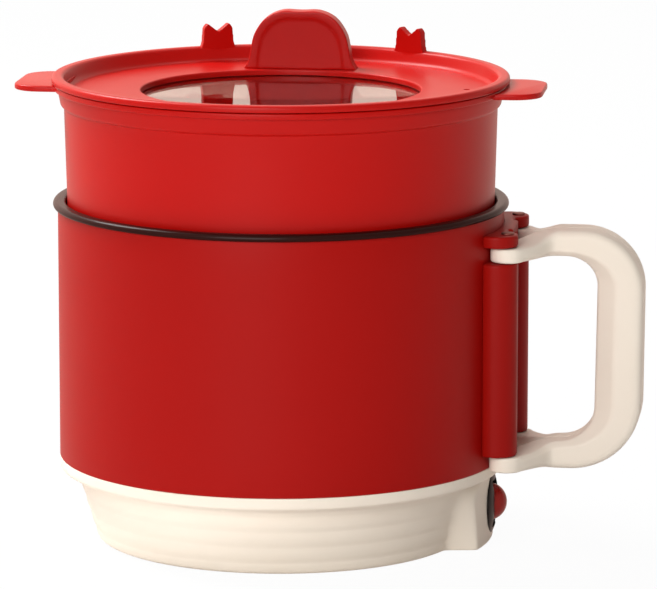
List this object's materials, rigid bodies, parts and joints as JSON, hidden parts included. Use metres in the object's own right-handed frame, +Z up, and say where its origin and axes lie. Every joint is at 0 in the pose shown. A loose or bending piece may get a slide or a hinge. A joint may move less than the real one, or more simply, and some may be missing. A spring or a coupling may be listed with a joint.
{
  "type": "egg cooker",
  "caption": "Round electric pot on a stepped base with rocker switch, lift-out steamer tub, windowed lid with finger tab, and a side loop handle that folds apart.",
  "frame": {"origin": "on the pot's axis, at the table under the flat bottom", "axes": "+X towards the handle and switch, +Y towards the lid's tab and the inlet, +Z up"},
  "size_m": [0.2267, 0.1636, 0.1845],
  "materials": {
    "red_plastic": "satin moulded polypropylene",
    "cream_plastic": "satin moulded plastic",
    "red_enamel": "satin baked paint on sheet steel",
    "dark_coating": "non-stick coating",
    "cast_aluminium": "cast",
    "element_steel": "heat-darkened tube",
    "zinc_steel": "zinc plated",
    "black_plastic": "moulded",
    "red_switch": "glossy, slightly see-through",
    "glass_sleeve": "glass-fibre sleeve",
    "brass_pins": "nickel plated",
    "lead_brown": "silicone insulation",
    "lead_blue": "silicone insulation",
    "grey_rubber": "silicone",
    "clear_glass": "tempered, polished"
  },
  "bodies": {
    "pot": {"base_shell": "cream_plastic", "base_plate": "cream_plastic", "foot_pads": "grey_rubber", "base_screws": "zinc_steel", "body_shell": "red_enamel", "inner_pot": "dark_coating", "heating_plate": "cast_aluminium", "heating_element": "element_steel", "thermostat": "black_plastic", "thermal_fuse": "glass_sleeve", "mounting_studs": "zinc_steel", "switch_housing": "black_plastic", "power_inlet": "black_plastic", "inlet_pins": "brass_pins", "live_lead": "lead_brown", "element_lead": "lead_brown", "neutral_lead": "lead_blue", "handle_bracket": "red_plastic", "bracket_screws": "zinc_steel", "hinge_pin_front": "zinc_steel", "hinge_pin_back": "zinc_steel"},
    "steamer": {"steamer_tub": "red_plastic"},
    "lid": {"lid_ring": "red_plastic", "lid_tab": "red_plastic", "window_glass": "clear_glass", "window_gasket": "grey_rubber", "glass_retainer": "red_plastic", "retainer_screws": "zinc_steel"},
    "handle_front": {"handle_leaf_front": "cream_plastic"},
    "handle_back": {"handle_leaf_back": "cream_plastic"},
    "rocker": {"switch_rocker": "red_switch"}
  },
  "joints": [
    {"name": "steamer_lift", "type": "slide", "parent": "pot", "child": "steamer", "axis": [0, 0, 1], "range_m": [0, 0.09]},
    {"name": "lid_lift", "type": "slide", "parent": "steamer", "child": "lid", "axis": [0, 0, 1], "range_m": [0, 0.06]},
    {"name": "handle_front_fold", "type": "hinge", "parent": "pot", "child": "handle_front", "pos_m": [0.0836, -0.0215, 0.0725], "axis": [0, 0, 1], "range_deg": [-120, 0]},
    {"name": "handle_back_fold", "type": "hinge", "parent": "pot", "child": "handle_back", "pos_m": [0.0836, 0.0215, 0.0725], "axis": [0, 0, 1], "range_deg": [0, 120]},
    {"name": "rocker_tilt", "type": "hinge", "parent": "pot", "child": "rocker", "pos_m": [0.066, 0, 0.014], "axis": [0, 1, 0], "range_deg": [-8, 8]}
  ]
}
